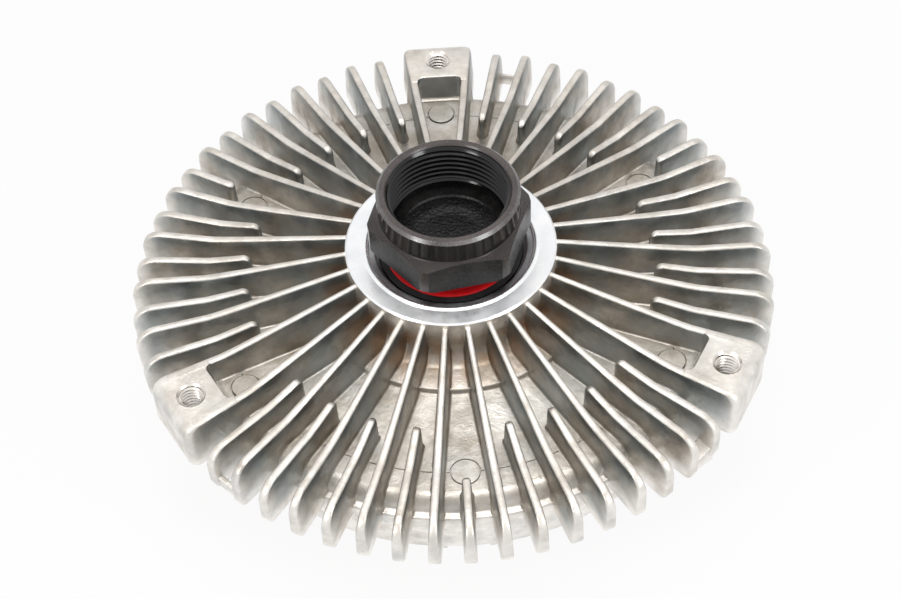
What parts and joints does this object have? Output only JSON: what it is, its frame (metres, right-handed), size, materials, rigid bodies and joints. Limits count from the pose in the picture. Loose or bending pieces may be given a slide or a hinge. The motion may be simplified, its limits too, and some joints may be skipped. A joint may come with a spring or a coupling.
{
  "type": "viscous fan clutch",
  "caption": "Viscous fan clutch with a finned aluminium casing, threaded fan lugs and a hexagonal drive hub that turns on a sealed ball bearing.",
  "frame": {"origin": "on the clutch's axis, in the plane that the front cover's fins rest on", "axes": "+Z along the clutch's axis, from the front cover towards the drive hub's nut; +Y towards one of the three fan lugs"},
  "size_m": [0.151, 0.151, 0.0634],
  "materials": {
    "cast_aluminium": "satin casting, machined on the boss",
    "black_oxide": "satin black oxide",
    "bearing_steel": "ground and polished",
    "plate_steel": "stamped, satin",
    "red_seal": "matte",
    "rubber": "matte",
    "bimetal": "rolled, satin"
  },
  "bodies": {
    "casing": {"clutch_housing": "cast_aluminium", "front_cover": "cast_aluminium", "cover_seal_ring": "rubber", "separator_plate": "plate_steel", "bimetal_coil": "bimetal", "bearing_outer_ring": "bearing_steel", "bearing_seal_upper": "red_seal", "bearing_seal_lower": "red_seal"},
    "hub": {"drive_hub": "black_oxide", "bearing_inner_ring": "bearing_steel", "rotor": "cast_aluminium"},
    "ball_set": {"bearing_cage": "plate_steel", "bearing_ball_1": "bearing_steel", "bearing_ball_2": "bearing_steel", "bearing_ball_3": "bearing_steel", "bearing_ball_4": "bearing_steel", "bearing_ball_5": "bearing_steel", "bearing_ball_6": "bearing_steel", "bearing_ball_7": "bearing_steel", "bearing_ball_8": "bearing_steel"},
    "valve": {"valve_shaft": "plate_steel", "valve_arm": "plate_steel", "valve_seal_ring": "rubber"}
  },
  "joints": [
    {"name": "hub_spin", "type": "hinge", "parent": "casing", "child": "hub", "pos_m": [0, 0, 0.0328], "axis": [0, 0, 1], "continuous": true},
    {"name": "cage_spin", "type": "hinge", "parent": "casing", "child": "ball_set", "pos_m": [0, 0, 0.0328], "axis": [0, 0, 1], "continuous": true},
    {"name": "valve_turn", "type": "hinge", "parent": "casing", "child": "valve", "pos_m": [0, 0, 0.0082], "axis": [0, 0, 1], "range_deg": [0, 25], "stiffness_Nm_per_rad": 0.05, "deforming": ["bimetal_coil"]}
  ],
  "couplings": [
    {"joint": "cage_spin", "follows": "hub_spin", "ratio": 0.3853}
  ]
}
